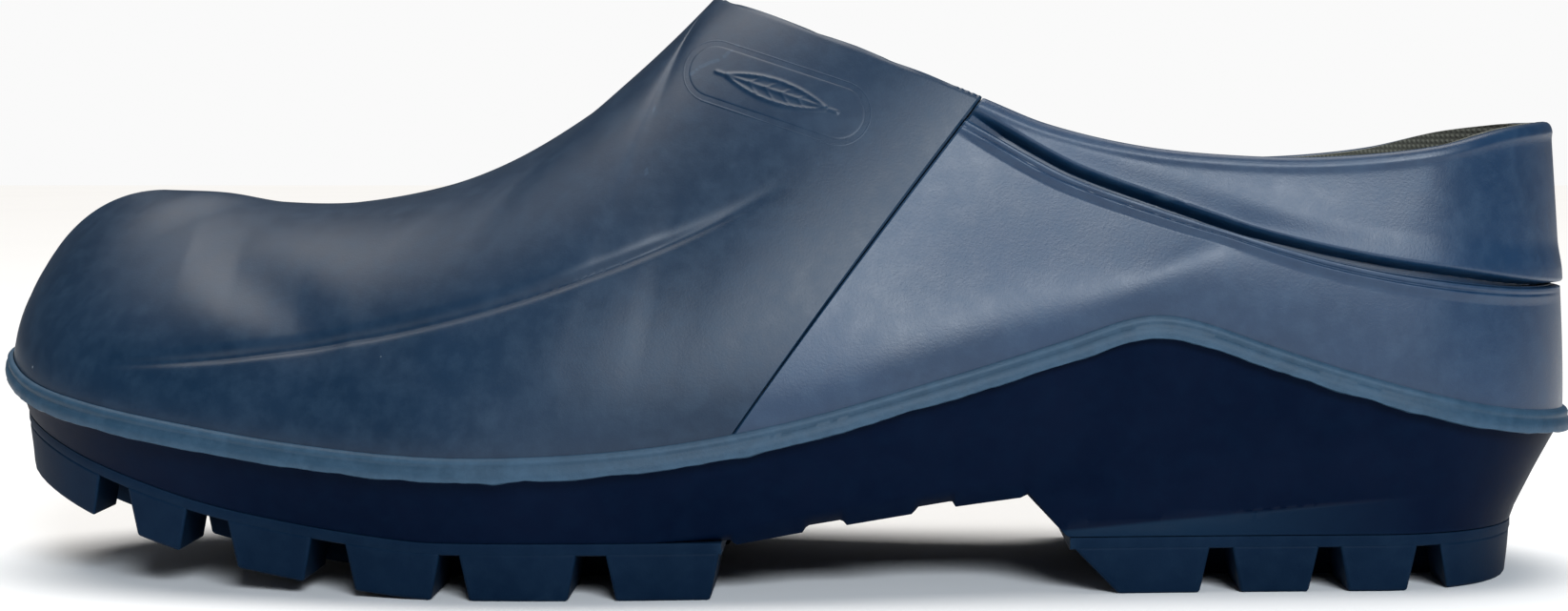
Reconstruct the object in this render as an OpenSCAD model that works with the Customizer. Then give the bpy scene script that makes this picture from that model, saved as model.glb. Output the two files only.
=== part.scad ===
// Garden clog, left foot, moulded rubber with a loose insole.
// X runs from the toe to the heel, Y from the outer side to the inner side, Z up.
// The origin is on the ground under the middle of the clog.

/* [Overall] */
// Length over the welt
length = 290; // [270:1:300]
// Width over the welt at the ball of the foot
ball_width = 105; // [100:1:110]
// Height to the top of the instep
height = 105; // [98:1:112]

/* [Upper] */
// Wall thickness of the upper
wall = 3.5; // [3:0.1:4.5]
// Thickness of the textile lining
lining = 0.8; // [0.5:0.1:1.2]
// Depth of the groove under the collar band
groove_depth = 1.4; // [0.5:0.1:2]

/* [Sole] */
// How far the welt stands out from the upper
welt_out = 1.5; // [1:0.1:2.5]
// Thickness of the tread's base under the midsole
tread_base = 2.2; // [1.5:0.1:3]
// Width of the grooves between the tread's lugs
lug_gap = 5; // [3.5:0.5:7]

/* [Insole] */
// Thickness of the insole's foam
foam = 4.5; // [3:0.5:6]
// Thickness of the insole's textile cover
cover = 1; // [0.8:0.1:1.5]

/* [Hidden] */

navy = [0.13, 0.2, 0.29];
dark_navy = [0.05, 0.12, 0.2];
grey = [0.3, 0.32, 0.3];

// Scale factors from the size that the tables below are drawn at
kx = length / 290;
ky = ball_width / 105;
kz = height / 105;
function fit(table, value_scale) = [for (p = table) [p[0] * kx, p[1] * value_scale]];

toe_x = -length / 2 + welt_out;
heel_x = length / 2 - welt_out;
toe_round = 55 * kx;  // length of the outline's rounded toe
heel_round = 38 * kx; // length of its rounded heel
toe_end = toe_x + toe_round;
heel_end = heel_x - heel_round;
corner = 2.15;        // superellipse power of both
toe_share = 0.30;     // share of the outline's parameter in the rounded toe
heel_share = 0.20;    // and in the rounded heel

// Plan of the upper's lower edge: the middle line, and the half widths on the outer and inner sides
middle_y = fit([[-145, 7.9], [-110, 4.9], [-70, 0.87], [145, 0.87]], ky);
outer_w = fit([[-145, 45], [-90, 45.5], [-50, 51.5], [-5, 49], [45, 42], [100, 38], [145, 37]], ky);
inner_w = fit([[-145, 44], [-90, 45], [-50, 50.5], [-5, 45], [45, 39.5], [100, 37.5], [145, 37]], ky);

// Heights along the length
welt_z = fit([[-145, 38.8], [-135, 34], [-122, 31], [-100, 27.5], [-80, 24.8], [-55, 23.2],
              [-25, 24.5], [0, 28.5], [30, 36.5], [50, 42.5], [60, 45.8], [66, 46.6], [73, 45.4],
              [85, 41.3], [100, 36.5], [117, 32], [130, 29.6], [145, 28.2]], kz);
spine_z = fit([[-116, 69.4], [-104, 68.9], [-92, 67.1], [-76, 67.2], [-57, 71], [-43, 77],
               [-29, 86.8], [-21.7, 94.2], [-12, 105]], kz);
rim_z = fit([[-12, 105], [0, 100.5], [14, 95], [36, 86], [47, 81.5], [63, 77.7], [80, 76],
             [96, 75.8], [114, 77.5], [128, 80.6], [139, 82]], kz);
tread_z = fit([[-142, 20], [-130, 15], [-120, 11.4], [-102, 6.2], [-88, 3.4], [-73, 1.3], [-57, 0],
               [145, 0]], kz);
bed_z = fit([[-140, 34], [-130, 30], [-120, 26], [-110, 23.5], [-100, 21], [-80, 17.5], [-50, 15.5],
             [-20, 15.5], [10, 18], [40, 22], [70, 23.5], [100, 24], [140, 24]], kz);

// Opening of the upper
apex_x = -12 * kx;     // front of the opening, at the top of the instep
rim_end = 141 * kx;    // back of the opening
rim_front = 48 * kx;   // length of its rounded front
rim_back = 30 * kx;    // length of its rounded back
rim_w = fit([[-12, 28], [36, 31], [80, 33.5], [115, 33], [140, 32]], ky);
front_share = 0.31;    // shares of the rim's parameter
back_share = 0.28;

// Ribs of the upper run from the welt line up to the spine or the rim. k is 0 at the toe, k_apex at
// the top of the instep, k_seam at the joint of the vamp and the quarter, and 1 at the heel.
k_apex = 0.40;
k_seam = 0.62;
spine_start = -116 * kx;
outline_at = [[0, 0], [0.2, 0.26], [0.4, 0.425], [0.62, 0.507], [0.8, 0.72], [1, 1]];
// Handles of the ribs, as cubic Bezier curves: at the welt outward, upward and back
foot_out = [[0, 0], [0.2, 2], [0.4, 3], [0.62, 2], [0.8, 1], [1, 0]];
foot_up = [[0, 15], [0.1, 16], [0.2, 17], [0.3, 19], [0.4, 22], [0.62, 15], [0.8, 14], [1, 14]];
foot_back = [[0, 0], [0.2, 0], [0.4, 5], [0.62, 10], [0.8, 3], [1, 0]];
// and at the top back, inward and upward
head_back = [[0, 17], [0.1, 15], [0.2, 13], [0.3, 11], [0.4, 10], [0.62, 11], [0.8, 1], [1, -1.2]];
head_in = [[0, 0], [0.1, 15], [0.2, 22], [0.3, 24.5], [0.36, 26.3], [0.4, 27.5],
           [0.43, 26.6], [0.46, 23], [0.5, 16], [0.55, 8.7], [0.62, 3], [0.8, 2], [1, 0]];
head_up = [[0, 0], [0.4, 0], [0.5, 4], [0.62, 1], [0.8, 14], [1, 16]];
spine_slope = [[0, 0], [0.1, -0.1], [0.2, 0.05], [0.3, 0.5], [0.36, 1], [0.4, 1.15], [1, 1.15]];
// Height of the groove under the collar band
groove_z = fit([[30, 84], [34.7, 81.3], [44.2, 75.7], [51.5, 72], [66, 66.8], [80.9, 62], [95.6, 58],
                [110, 55.2], [127.7, 53.2], [144, 52.7]], kz);

// Smooth curve through [x, y] points
function span(p, x, i = 0) = (i >= len(p) - 2 || x <= p[i + 1][0]) ? i : span(p, x, i + 1);
function rise(p, a, b) = (p[b][1] - p[a][1]) / (p[b][0] - p[a][0]);
function tangent(p, i) = rise(p, max(i - 1, 0), min(i + 1, len(p) - 1));
function curve(p, x) =
    x <= p[0][0] ? p[0][1] :
    x >= p[len(p) - 1][0] ? p[len(p) - 1][1] :
    let (i = span(p, x), h = p[i + 1][0] - p[i][0], t = (x - p[i][0]) / h)
    (2 * t ^ 3 - 3 * t ^ 2 + 1) * p[i][1] + (t ^ 3 - 2 * t ^ 2 + t) * h * tangent(p, i)
    + (3 * t ^ 2 - 2 * t ^ 3) * p[i + 1][1] + (t ^ 3 - t ^ 2) * h * tangent(p, i + 1);

// Plan of the clog at parameter u from 0 at the toe to 1 at the heel, grown outward by
// grow = [at the toe, at the sides, at the heel]. side is -1 outside and 1 inside the foot.
function half_width(x, side) = curve(side < 0 ? outer_w : inner_w, x);
function plan(u, side, grow = [0, 0, 0]) =
    let (
        e = 2 / corner,
        end = u < toe_share ? u / toe_share : u > 1 - heel_share ? (1 - u) / heel_share : 1,
        reach = max(cos(end * 90), 0) ^ e,
        x = u < toe_share ? toe_end - (toe_round + grow[0]) * reach :
            u > 1 - heel_share ? heel_end + (heel_round + grow[2]) * reach :
            toe_end + (heel_end - toe_end) * (u - toe_share) / (1 - toe_share - heel_share)
    )
    [x, curve(middle_y, x) + side * (half_width(x, side) + grow[1]) * max(sin(end * 90), 0) ^ e];

// Height of the tread face above the ground; it only rises towards the toe.
function tread_at(x) = max(0, curve(tread_z, x));

// Spine and rim of the upper
function spine_x(r) = spine_start + (apex_x - spine_start) * (0.6 * r + 1.8 * r ^ 2 - 1.4 * r ^ 3);
function rim_share(r) = (sqrt(r ^ 2 + 0.01) - 0.1) / (sqrt(1.01) - 0.1);
function rim(f, side) =
    let (
        end = f < front_share ? f / front_share : f > 1 - back_share ? (1 - f) / back_share : 1,
        x = f < front_share ? apex_x + rim_front * (1 - cos(end * 90)) :
            f > 1 - back_share ? rim_end - rim_back * (1 - cos(end * 90)) :
            apex_x + rim_front
            + (rim_end - rim_back - apex_x - rim_front) * (f - front_share) / (1 - front_share - back_share)
    )
    [x, curve(middle_y, x) + side * curve(rim_w, x) * sin(end * 90), curve(rim_z, x)];
function foot(k, side) =
    let (p = plan(curve(outline_at, k), side))
    [p[0], p[1], curve(welt_z, p[0])];
function head(k, side) =
    k > k_apex ? rim(rim_share((k - k_apex) / (1 - k_apex)), side) :
    let (x = spine_x(k / k_apex)) [x, curve(middle_y, x), curve(spine_z, x)];

// Outer surface of the upper at rib k and height v, from 0 at the welt to 1 at the top
function rib(k, side) =
    let (
        p = foot(k, side),
        t = head(k, side),
        back = curve(head_back, k)
    )
    [p,
     p + [curve(foot_back, k), side * curve(foot_out, k), curve(foot_up, k)],
     t - [back, -side * curve(head_in, k), back * curve(spine_slope, k) + curve(head_up, k)],
     t];
function bezier(c, v) =
    (1 - v) ^ 3 * c[0] + 3 * (1 - v) ^ 2 * v * c[1] + 3 * (1 - v) * v ^ 2 * c[2] + v ^ 3 * c[3];

// Where the groove crosses a rib, by bisection
function groove_at(c, low = 0, high = 1, turns = 14) =
    turns == 0 ? (low + high) / 2 :
    let (v = (low + high) / 2, p = bezier(c, v))
    p[2] < curve(groove_z, p[0]) ? groove_at(c, v, high, turns - 1) : groove_at(c, low, v, turns - 1);

function unit(a) = a / norm(a);
function steps(a, b, n) = [for (i = [0:n]) a + (b - a) * i / n];

// Normals of a grid of points, pointing out of the foot. Where a column is zipped, its top row lies
// on the spine and continues into the column on the other side.
function grid_normals(g, zipped) =
    let (n = len(g) - 1, m = len(g[0]) - 1)
    [for (i = [0:n]) [for (j = [0:m])
        let (
            on_spine = j == m && zipped[i],
            next = i == n || (on_spine && !zipped[i + 1]) ? i : i + 1,
            last = i == 0 || (on_spine && !zipped[i - 1]) ? i : i - 1,
            along = g[next][j] - g[last][j],
            up = on_spine ? g[n - i][m - 1] - g[i][m - 1] : g[i][min(j + 1, m)] - g[i][max(j - 1, 0)],
            tip = norm(along) < 0.001
        )
        unit(tip ? cross(g[next][j - 1] - g[last][j - 1], g[i][j] - g[i][j - 1]) : cross(along, up))]];

// A wall: a grid of points moved along its normals by out[i][j] for the outer face and by -inner
// for the inner face. A flat foot keeps the wall's lower edge level.
module wall_solid(g, out, inner, zipped, flat_foot = false) {
    n = len(g) - 1;
    m = len(g[0]) - 1;
    normals = grid_normals(g, zipped);
    function level(a) = unit([a[0], a[1], 0]);
    function inward(i, j) = j == 0 && flat_foot ? level(normals[i][0]) : normals[i][j];
    outside = [for (i = [0:n]) for (j = [0:m]) g[i][j] + inward(i, j) * out[i][j]];
    inside = [for (i = [0:n]) for (j = [0:m]) g[i][j] - inward(i, j) * inner];
    first_in = (n + 1) * (m + 1);
    function o(i, j) = i * (m + 1) + j;
    function q(i, j) = first_in + o(i, j);
    faces = [
        for (i = [0:n - 1]) for (j = [0:m - 1]) each [
            [o(i, j), o(i, j + 1), o(i + 1, j + 1)],
            [o(i, j), o(i + 1, j + 1), o(i + 1, j)],
            [q(i, j), q(i + 1, j + 1), q(i, j + 1)],
            [q(i, j), q(i + 1, j), q(i + 1, j + 1)]
        ],
        for (i = [0:n - 1]) each [
            [o(i, 0), o(i + 1, 0), q(i + 1, 0)],
            [o(i, 0), q(i + 1, 0), q(i, 0)]
        ],
        for (i = [0:n - 1]) if (!(zipped[i] && zipped[i + 1])) each [
            [o(i + 1, m), o(i, m), q(i, m)],
            [o(i + 1, m), q(i, m), q(i + 1, m)]
        ],
        for (j = [0:m - 1]) each [
            [o(0, j + 1), o(0, j), q(0, j)],
            [o(0, j + 1), q(0, j), q(0, j + 1)],
            [o(n, j), o(n, j + 1), q(n, j + 1)],
            [o(n, j), q(n, j + 1), q(n, j)]
        ]
    ];
    polyhedron(points = concat(outside, inside), faces = faces, convexity = 8);
}

// A solid through closed loops, each given as two edges that run the same way. Its ends are capped
// by strips between the two edges, or ring joins the last loop to the first.
module loop_solid(loops, ring = false) {
    k = len(loops[0][0]) - 1;
    n = 2 * (k + 1);
    count = len(loops);
    points = [for (l = loops) each concat(l[0], [for (i = [k:-1:0]) l[1][i]])];
    function at(l, i) = (l % count) * n + i % n;
    function same(i) = norm(points[i % n] - points[(i + 1) % n]) < 0.0001;
    function a(l, i) = at(l, i);
    function b(l, i) = at(l, n - 1 - i);
    // the strip at an end that comes to a point has one triangle
    function strip(p) = [
        if (norm(points[p[0]] - points[p[3]]) > 0.0001) [p[0], p[2], p[3]],
        if (norm(points[p[1]] - points[p[2]]) > 0.0001) [p[0], p[1], p[2]]
    ];
    faces = [
        for (l = [0:count - (ring ? 1 : 2)]) for (i = [0:n - 1]) if (!same(i)) each [
            [at(l, i), at(l + 1, i), at(l + 1, i + 1)],
            [at(l, i), at(l + 1, i + 1), at(l, i + 1)]
        ],
        if (!ring) for (i = [0:k - 1]) each strip([a(0, i), a(0, i + 1), b(0, i + 1), b(0, i)]),
        if (!ring) for (i = [0:k - 1])
            each strip([b(count - 1, i), b(count - 1, i + 1), a(count - 1, i + 1), a(count - 1, i)])
    ];
    polyhedron(points = points, faces = faces, convexity = 8);
}

// A loop round the plan at the parameters us, grown by grow and with heights z(x). tuck(x) draws
// its sides in.
function plan_edge(us, side, grow, z, tuck) =
    [for (u = us) let (p = plan(u, side, grow)) [p[0], p[1] - side * tuck(p[0]), z(p[0])]];
function plan_loop(us, grow, z, tuck = function (x) 0) =
    [plan_edge(us, -1, grow, z, tuck), plan_edge(us, 1, grow, z, tuck)];
// Parameter of the plan at x, between the toe and the heel
function plan_at(x) = toe_share + (1 - toe_share - heel_share) * (x - toe_end) / (heel_end - toe_end);

// The ribs of the vamp, from the inner side round the toe to the outer side
vamp_ks = concat([0, 0.02, 0.045, 0.075], steps(0.11, 0.36, 8), [0.385, k_apex],
                 [0.42, 0.44, 0.46, 0.48, 0.51, 0.54, 0.58, k_seam]);
vamp_path = [for (i = [1 - len(vamp_ks):len(vamp_ks) - 1]) [vamp_ks[abs(i)], i < 0 ? 1 : -1]];
vamp_rows = steps(0, 1, 14);
function zipped(path) = [for (p = path) p[0] <= k_apex];
function wall_grid(path, rows) = [for (p = path) let (c = rib(p[0], p[1])) [for (v = rows) bezier(c, v)]];
function all_out(path, rows, out) = [for (p = path) [for (v = rows) out]];

module vamp() {
    color(navy)
        wall_solid(wall_grid(vamp_path, vamp_rows), all_out(vamp_path, vamp_rows, 0), wall,
                   zipped(vamp_path), flat_foot = true);
}

module vamp_lining() {
    color(grey)
        wall_solid(wall_grid(vamp_path, vamp_rows), all_out(vamp_path, vamp_rows, -wall),
                   wall + lining, zipped(vamp_path), flat_foot = true);
}

// The ribs behind the seam, from the outer side round the heel to the inner side
function rear_path(gap) =
    let (ks = concat([k_seam + gap], steps(0.635, 0.95, 21), [0.965, 0.98, 0.99, 1]), n = len(ks) - 1)
    [for (i = [0:2 * n]) [ks[i <= n ? i : 2 * n - i], i <= n ? -1 : 1]];
// Width of the joints between bonded pieces, as a share of a rib
joint = 0.0004;
// The groove fades out where it reaches the seam
function groove_fade(k) = groove_depth * min(1, (k - k_seam) / 0.06);

module quarter() {
    color(navy) {
        path = rear_path(joint);
        rows = concat(steps(0, 0.97, 7), [1]);
        grid = [for (p = path) let (c = rib(p[0], p[1]), top = groove_at(c) - joint)
                [for (r = rows) bezier(c, r * top)]];
        out = [for (p = path) [for (r = rows) r == 1 ? -0.7 * groove_fade(p[0]) : 0]];
        wall_solid(grid, out, wall, [for (p = path) false], flat_foot = true);
    }
}

module collar_band() {
    color(navy) {
        path = rear_path(joint);
        rows = concat([0, 0.06], steps(0.2, 1, 5));
        grid = [for (p = path) let (c = rib(p[0], p[1]), low = groove_at(c) + joint)
                [for (r = rows) bezier(c, low + r * (1 - low))]];
        out = [for (p = path) [for (r = rows) r == 0 ? -groove_fade(p[0]) : 0]];
        wall_solid(grid, out, wall, [for (p = path) false]);
    }
}

module quarter_lining() {
    color(grey) {
        path = rear_path(0);
        rows = steps(0, 1, 9);
        wall_solid(wall_grid(path, rows), all_out(path, rows, -wall), wall + lining,
                   [for (p = path) false], flat_foot = true);
    }
}

// The sole's arch, free of the tread, and the slanted front of the heel behind it
arch_start = -9 * kx;
arch_end = 43 * kx;
heel_start = 50.4 * kx;
arch_high = 7.8;
lug_height = 7.8;
tread_top = lug_height + tread_base;
arch_ribs = [-1, 18, 37];
rib_half = 5.8;
rib_deep = 1.1;
rib_edge = 0.6;

plan_steps = concat(
    steps(0, 0.30, 12),
    [for (x = steps(-78, -12, 8)) plan_at(x * kx)],
    [for (r = arch_ribs) each [for (d = [-rib_half - rib_edge, -rib_half, rib_half, rib_half + rib_edge])
                               plan_at((r + d) * kx)]],
    [for (x = [46.5, 50.4, 55, 62, 70, 79, 88, 97]) plan_at(x * kx)],
    steps(0.80, 1, 9)
);

module welt() {
    color(navy) {
        gap = 0.1;
        profile = [[gap, -1.3], [welt_out, -1.3], [welt_out, 0.5], [0.6 * welt_out, 1.4], [gap + 0.3, 1.4]];
        loop_solid([for (p = profile)
                    plan_loop(plan_steps, [p[0], p[0], p[0]], function (x) curve(welt_z, x) + p[1])],
                   ring = true);
    }
}

// Underside of the midsole: on the tread at the forefoot and the heel, and free at the arch
function ramp(x, a, b) = max(0, min(1, (x - a) / (b - a)));
function under_z(x) =
    tread_at(x) + tread_top
    + arch_high * (ramp(x, arch_start, arch_end) - ramp(x, arch_end, heel_start));
function arch_rib(x) =
    rib_deep * max([for (r = arch_ribs) 1 - ramp(abs(x / kx - r), rib_half, rib_half + rib_edge)]);
function waist_tuck(x) = 4 * ramp(x, arch_start - 12, arch_start + 12) * (1 - ramp(x, arch_end - 12, heel_start));

module midsole() {
    color(dark_navy) {
        top = function (x) curve(welt_z, x) - 0.15;
        low = function (x) under_z(x) - arch_rib(x);
        edge = function (x) under_z(x) + 1.2 + waist_tuck(x) / 2;
        half = function (x) (curve(welt_z, x) + under_z(x)) / 2;
        bed = function (x) curve(bed_z, x);
        deep = function (x) curve(bed_z, x) + 3;
        tuck = function (x) waist_tuck(x);
        slight = function (x) waist_tuck(x) / 4;
        loop_solid([
            plan_loop(plan_steps, [-4, -7.2, -10.8], low, tuck),
            plan_loop(plan_steps, [-3, -6.1, -9.7], edge, slight),
            plan_loop(plan_steps, [-1.4, -3, -5], half),
            plan_loop(plan_steps, [0, 0, 0], top),
            plan_loop(plan_steps, -[1, 1, 1] * wall, top),
            plan_loop(plan_steps, -[1, 1, 1] * (wall + 1.5), deep),
            plan_loop(plan_steps, -[1, 1, 1] * (wall + 4), bed)
        ]);
    }
}

// Side of the sole at x, grown by grow, for pieces that are laid out by x
function sole_y(x, side, grow) =
    let (
        toe_in = max(0, (toe_end - x) / (toe_round + grow[0])),
        heel_in = max(0, (x - heel_end) / (heel_round + grow[2])),
        end = max(0, 1 - max(toe_in, heel_in) ^ corner) ^ (1 / corner)
    )
    curve(middle_y, x) + side * (half_width(x, side) + grow[1]) * end;

// The tread stands a little proud of the midsole
tread_grow = [-2.4, -5.5, -9.2];

// A lug of the tread between x0 and x1 and from the share y0 to the share y1 of the half width.
// It narrows by the draft at its front and back on the way down.
module lug(x0, x1, side, y0, y1, draft = [1.6, 1.6]) {
    top_x = steps(x0, x1, 5);
    low_x = steps(x0 + draft[0], x1 - draft[1], 5);
    function edge(xs, share, less, z) = [for (x = xs)
        let (middle = curve(middle_y, x), half = sole_y(x, side, tread_grow - [1, 1, 1] * less) - middle)
        [x, middle + share * half, z(x)]];
    near = side < 0 ? y1 : y0;
    far = side < 0 ? y0 : y1;
    up = function (x) tread_at(x) + lug_height + 0.5;
    down = function (x) tread_at(x);
    hull() loop_solid([
        [edge(low_x, near, 0.9, down), edge(low_x, far, 0.9, down)],
        [edge(top_x, near, 0, up), edge(top_x, far, 0, up)]
    ]);
}

// The tread's base under the plan between the parameters us
module tread_plate(us) {
    function level(grow, up) = plan_loop(us, tread_grow + [1, 1, 1] * grow,
                                         function (x) tread_at(x) + up);
    loop_solid([level(-0.6, lug_height), level(0, lug_height + 0.7), level(0, tread_top - 0.4),
                level(-0.5, tread_top - 0.05)]);
}

// Lugs between the pairs of x in spans on both sides, and staggered lugs down the middle
module lug_rows(spans, inner, front_draft = 1.6) {
    for (i = [0:len(spans) - 1], side = [-1, 1])
        lug(spans[i][0] * kx, spans[i][1] * kx, side, inner + 0.12, 1, [i == 0 ? front_draft : 1.6, 1.6]);
    mids = [for (s = spans) (s[0] + s[1]) / 2 * kx];
    for (i = [0:len(spans) - 2])
        lug(mids[i] + lug_gap / 2, mids[i + 1] - lug_gap / 2, 1, -inner + 0.02, inner - 0.02);
}

forefoot_lugs = [[-140.6, -119.8], [-114.2, -102.6], [-95.2, -79.7], [-73.8, -56.9], [-53.7, -33.5],
                 [-28.7, -9.3]];
heel_lugs = [[51.4, 75.3], [79.1, 94.4], [98, 111.8], [115.9, 133.8]];

module forefoot_tread() {
    color(dark_navy) {
        tread_plate(concat(steps(0, 0.30, 12), [for (x = steps(-78, -9, 9)) plan_at(x * kx)]));
        lug_rows(forefoot_lugs, 0.42);
    }
}

module heel_tread() {
    color(dark_navy) {
        tread_plate(concat([for (x = steps(50.9, 97, 5)) plan_at(x * kx)], steps(0.80, 1, 9)));
        lug_rows(heel_lugs, 0.44, 8);
    }
}

insole_inset = wall + 4.9;
insole_gap = 0.35;
module insole_layer(from, to, inset) {
    function loop(more, up) = plan_loop(plan_steps, -[1, 1, 1] * (inset + more),
                                        function (x) curve(bed_z, x) + insole_gap + up);
    loop_solid([loop(0.6, from), loop(0, from + 0.4), loop(0, to - 0.4), loop(0.6, to)]);
}
module insole_foam() {
    color([0.25, 0.27, 0.3]) insole_layer(0, foam, insole_inset);
}
module insole_cover() {
    color([0.4, 0.42, 0.44]) insole_layer(foam, foam + cover, insole_inset + 0.6);
}

vamp();
quarter();
collar_band();
vamp_lining();
quarter_lining();
welt();
midsole();
forefoot_tread();
heel_tread();
insole_foam();
insole_cover();
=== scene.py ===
import math
import bmesh
import bpy
import numpy as np
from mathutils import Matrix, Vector


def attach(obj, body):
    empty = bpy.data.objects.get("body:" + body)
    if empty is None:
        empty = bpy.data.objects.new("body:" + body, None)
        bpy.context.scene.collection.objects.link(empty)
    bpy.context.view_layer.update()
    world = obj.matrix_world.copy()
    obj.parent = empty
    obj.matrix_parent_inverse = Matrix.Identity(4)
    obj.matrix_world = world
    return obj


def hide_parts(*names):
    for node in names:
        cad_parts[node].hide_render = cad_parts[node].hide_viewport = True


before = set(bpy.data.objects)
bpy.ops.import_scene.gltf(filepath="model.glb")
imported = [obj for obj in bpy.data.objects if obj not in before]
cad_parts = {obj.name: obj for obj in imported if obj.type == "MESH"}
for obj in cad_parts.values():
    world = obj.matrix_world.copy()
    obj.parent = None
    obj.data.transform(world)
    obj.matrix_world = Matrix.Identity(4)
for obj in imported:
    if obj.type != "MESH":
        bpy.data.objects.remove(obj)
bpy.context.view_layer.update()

MM = 0.001

# ---------------------------------------------------------------- shape of the clog, in millimetres
LENGTH = 290.0
WELT_OUT = 1.5
TOE_X, HEEL_X = -LENGTH / 2 + WELT_OUT, LENGTH / 2 - WELT_OUT
TOE_ROUND, HEEL_ROUND, CORNER = 55.0, 38.0, 2.15
TOE_END, HEEL_END = TOE_X + TOE_ROUND, HEEL_X - HEEL_ROUND
TOE_SHARE, HEEL_SHARE = 0.30, 0.20
WALL, LINING = 3.5, 0.8

MIDDLE_Y = [[-145, 7.9], [-110, 4.9], [-70, 0.87], [145, 0.87]]
OUTER_W = [[-145, 45], [-90, 45.5], [-50, 51.5], [-5, 49], [45, 42], [100, 38], [145, 37]]
INNER_W = [[-145, 44], [-90, 45], [-50, 50.5], [-5, 45], [45, 39.5], [100, 37.5], [145, 37]]
WELT_Z = [[-145, 38.8], [-135, 34], [-122, 31], [-100, 27.5], [-80, 24.8], [-55, 23.2], [-25, 24.5],
          [0, 28.5], [30, 36.5], [50, 42.5], [60, 45.8], [66, 46.6], [73, 45.4], [85, 41.3],
          [100, 36.5], [117, 32], [130, 29.6], [145, 28.2]]
SPINE_Z = [[-116, 69.4], [-104, 68.9], [-92, 67.1], [-76, 67.2], [-57, 71], [-43, 77], [-29, 86.8],
           [-21.7, 94.2], [-12, 105]]
RIM_Z = [[-12, 105], [0, 100.5], [14, 95], [36, 86], [47, 81.5], [63, 77.7], [80, 76], [96, 75.8],
         [114, 77.5], [128, 80.6], [139, 82]]
TREAD_Z = [[-142, 20], [-130, 15], [-120, 11.4], [-102, 6.2], [-88, 3.4], [-73, 1.3], [-57, 0], [145, 0]]
BED_Z = [[-140, 34], [-130, 30], [-120, 26], [-110, 23.5], [-100, 21], [-80, 17.5], [-50, 15.5],
         [-20, 15.5], [10, 18], [40, 22], [70, 23.5], [100, 24], [140, 24]]
APEX_X, RIM_END, RIM_FRONT, RIM_BACK = -12.0, 141.0, 48.0, 30.0
RIM_W = [[-12, 28], [36, 31], [80, 33.5], [115, 33], [140, 32]]
FRONT_SHARE, BACK_SHARE = 0.31, 0.28
K_APEX, K_SEAM, SPINE_START = 0.40, 0.62, -116.0
OUTLINE_AT = [[0, 0], [0.2, 0.26], [0.4, 0.425], [0.62, 0.507], [0.8, 0.72], [1, 1]]
FOOT_OUT = [[0, 0], [0.2, 2], [0.4, 3], [0.62, 2], [0.8, 1], [1, 0]]
FOOT_UP = [[0, 15], [0.1, 16], [0.2, 17], [0.3, 19], [0.4, 22], [0.62, 15], [0.8, 14], [1, 14]]
FOOT_BACK = [[0, 0], [0.2, 0], [0.4, 5], [0.62, 10], [0.8, 3], [1, 0]]
HEAD_BACK = [[0, 17], [0.1, 15], [0.2, 13], [0.3, 11], [0.4, 10], [0.62, 11], [0.8, 1], [1, -1.2]]
HEAD_IN = [[0, 0], [0.1, 15], [0.2, 22], [0.3, 24.5], [0.36, 26.3], [0.4, 27.5], [0.43, 26.6],
           [0.46, 23], [0.5, 16], [0.55, 8.7], [0.62, 3], [0.8, 2], [1, 0]]
HEAD_UP = [[0, 0], [0.4, 0], [0.5, 4], [0.62, 1], [0.8, 14], [1, 16]]
SPINE_SLOPE = [[0, 0], [0.1, -0.1], [0.2, 0.05], [0.3, 0.5], [0.36, 1], [0.4, 1.15], [1, 1.15]]
GROOVE_Z = [[30, 84], [34.7, 81.3], [44.2, 75.7], [51.5, 72], [66, 66.8], [80.9, 62], [95.6, 58],
            [110, 55.2], [127.7, 53.2], [144, 52.7]]


def curve(table, x):
    """Smooth curve through the table's points, flat beyond its ends."""
    px, py = np.array(table, float).T
    n = len(px)
    before, after = np.maximum(np.arange(n) - 1, 0), np.minimum(np.arange(n) + 1, n - 1)
    slope = (py[after] - py[before]) / (px[after] - px[before])
    x = np.clip(np.asarray(x, float), px[0], px[-1])
    i = np.clip(np.searchsorted(px, x, side="right") - 1, 0, n - 2)
    h = px[i + 1] - px[i]
    t = (x - px[i]) / h
    return ((2 * t**3 - 3 * t**2 + 1) * py[i] + (t**3 - 2 * t**2 + t) * h * slope[i]
            + (3 * t**2 - 2 * t**3) * py[i + 1] + (t**3 - t**2) * h * slope[i + 1])


def ramp(x, a, b):
    """Smooth step from 0 at a to 1 at b."""
    t = np.clip((np.asarray(x, float) - a) / (b - a), 0, 1)
    return t * t * (3 - 2 * t)


def line(x, a, b):
    return np.clip((np.asarray(x, float) - a) / (b - a), 0, 1)


def bell(x, centre, width):
    return np.exp(-((np.asarray(x, float) - centre) / width) ** 2)


def half_width(x, side):
    return np.where(np.asarray(side) < 0, curve(OUTER_W, x), curve(INNER_W, x))


def plan(u, side, grow=(0, 0, 0)):
    """x and y of the clog's outline at u, from 0 at the toe to 1 at the heel."""
    u = np.asarray(u, float)
    end = np.where(u < TOE_SHARE, u / TOE_SHARE, np.where(u > 1 - HEEL_SHARE, (1 - u) / HEEL_SHARE, 1))
    reach = np.maximum(np.cos(end * np.pi / 2), 0) ** (2 / CORNER)
    x = np.where(u < TOE_SHARE, TOE_END - (TOE_ROUND + grow[0]) * reach,
                 np.where(u > 1 - HEEL_SHARE, HEEL_END + (HEEL_ROUND + grow[2]) * reach,
                          TOE_END + (HEEL_END - TOE_END) * (u - TOE_SHARE) / (1 - TOE_SHARE - HEEL_SHARE)))
    bulge = np.maximum(np.sin(end * np.pi / 2), 0) ** (2 / CORNER)
    return x, curve(MIDDLE_Y, x) + side * (half_width(x, side) + grow[1]) * bulge


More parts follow.
